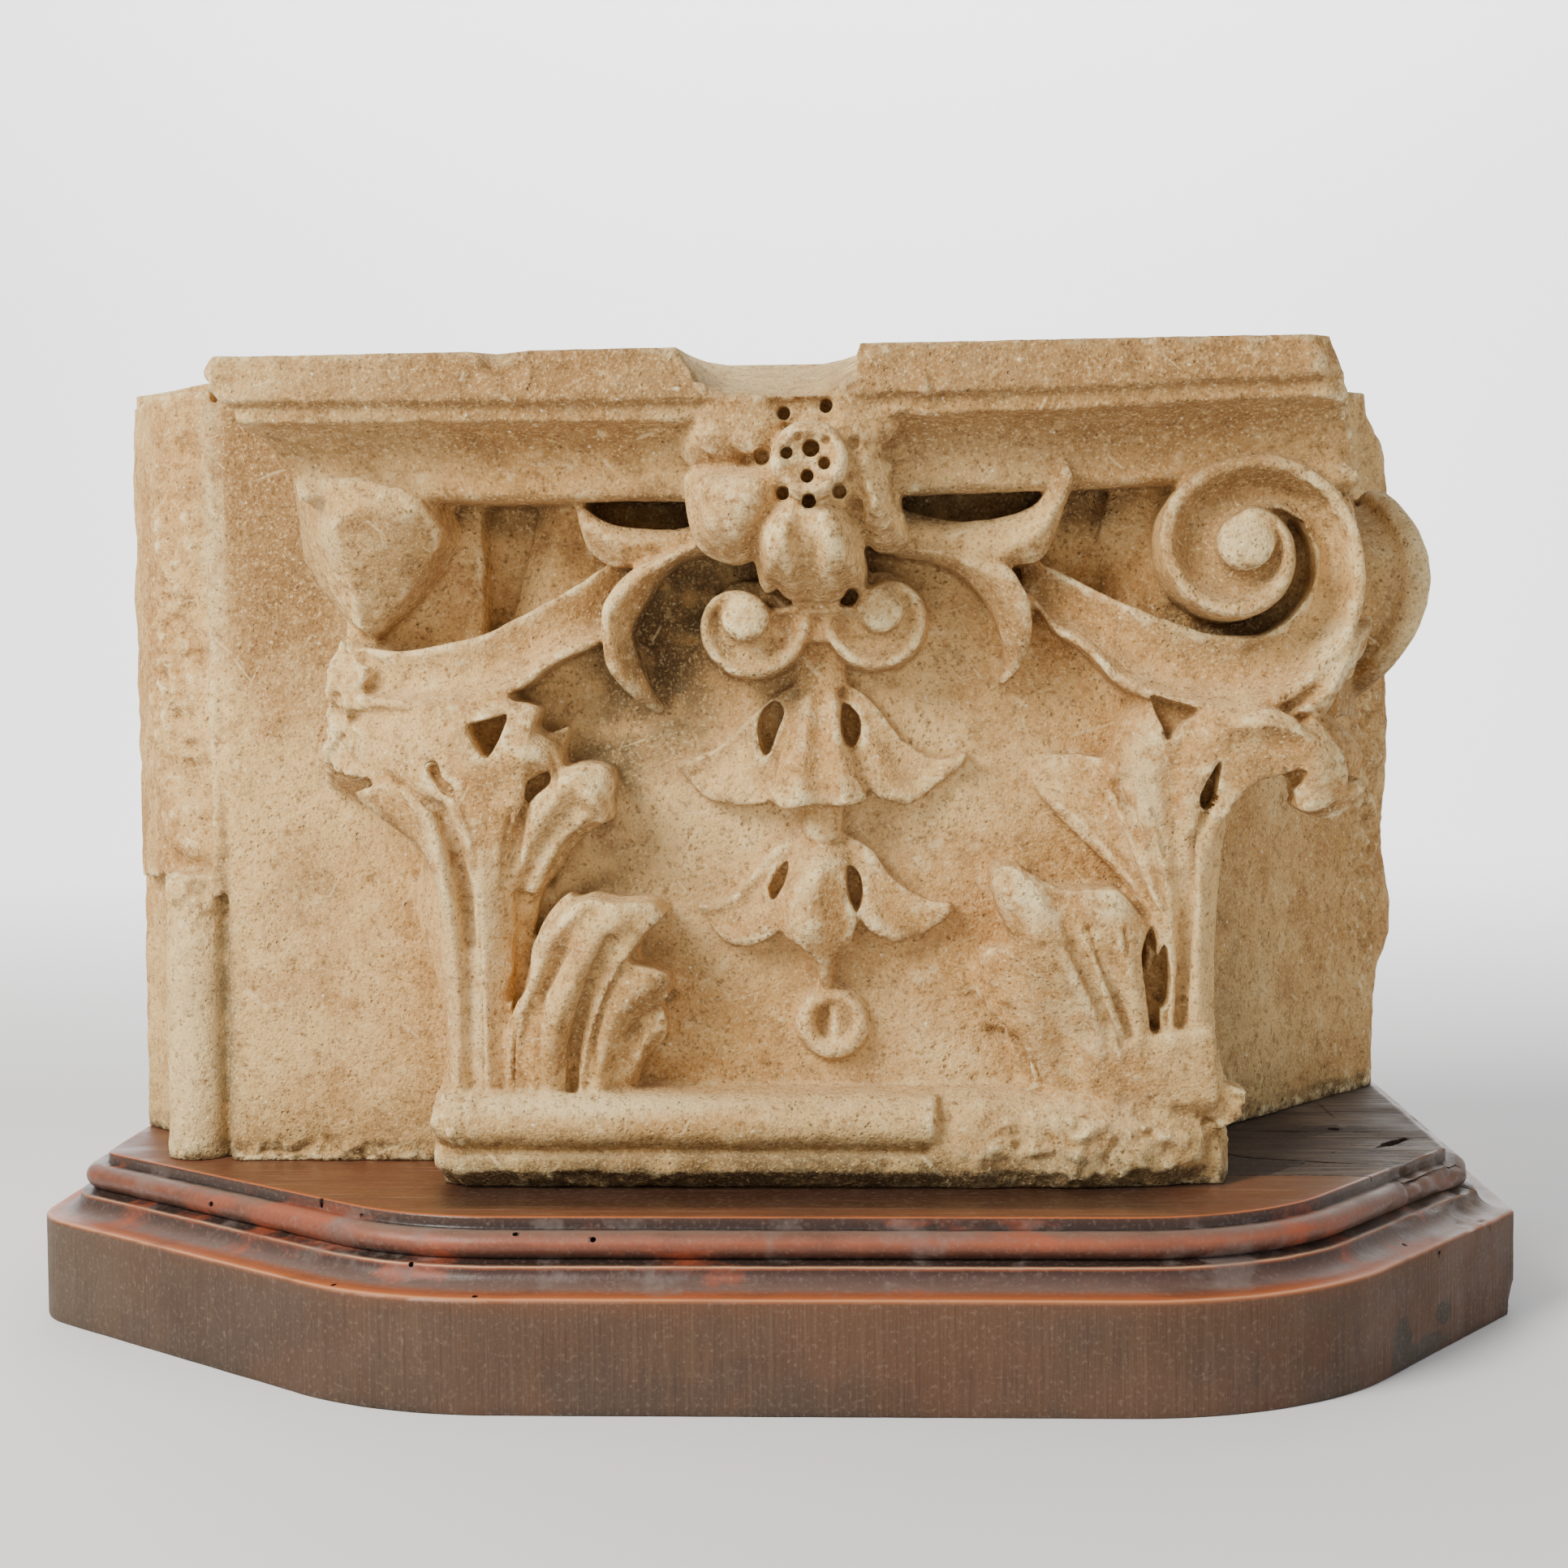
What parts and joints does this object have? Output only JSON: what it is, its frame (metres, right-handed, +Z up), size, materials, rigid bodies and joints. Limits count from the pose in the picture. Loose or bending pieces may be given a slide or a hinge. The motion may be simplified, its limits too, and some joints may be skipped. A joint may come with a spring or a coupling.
{
  "type": "pilaster capital",
  "caption": "Fragment of a carved stone pilaster capital with volutes, acanthus leaves, a flower and husks, on a low moulded wooden base.",
  "frame": {"origin": "middle of the wooden base's underside, on the surface it stands on", "axes": "+Z up, +X along the carved front to the viewer's right, -Y out of the carved front towards the viewer"},
  "size_m": [0.55, 0.33, 0.3547],
  "materials": {
    "limestone": "matte",
    "stained_wood": "satin"
  },
  "bodies": {
    "root": {"capital_stone": "limestone", "wooden_base": "stained_wood"}
  },
  "joints": []
}
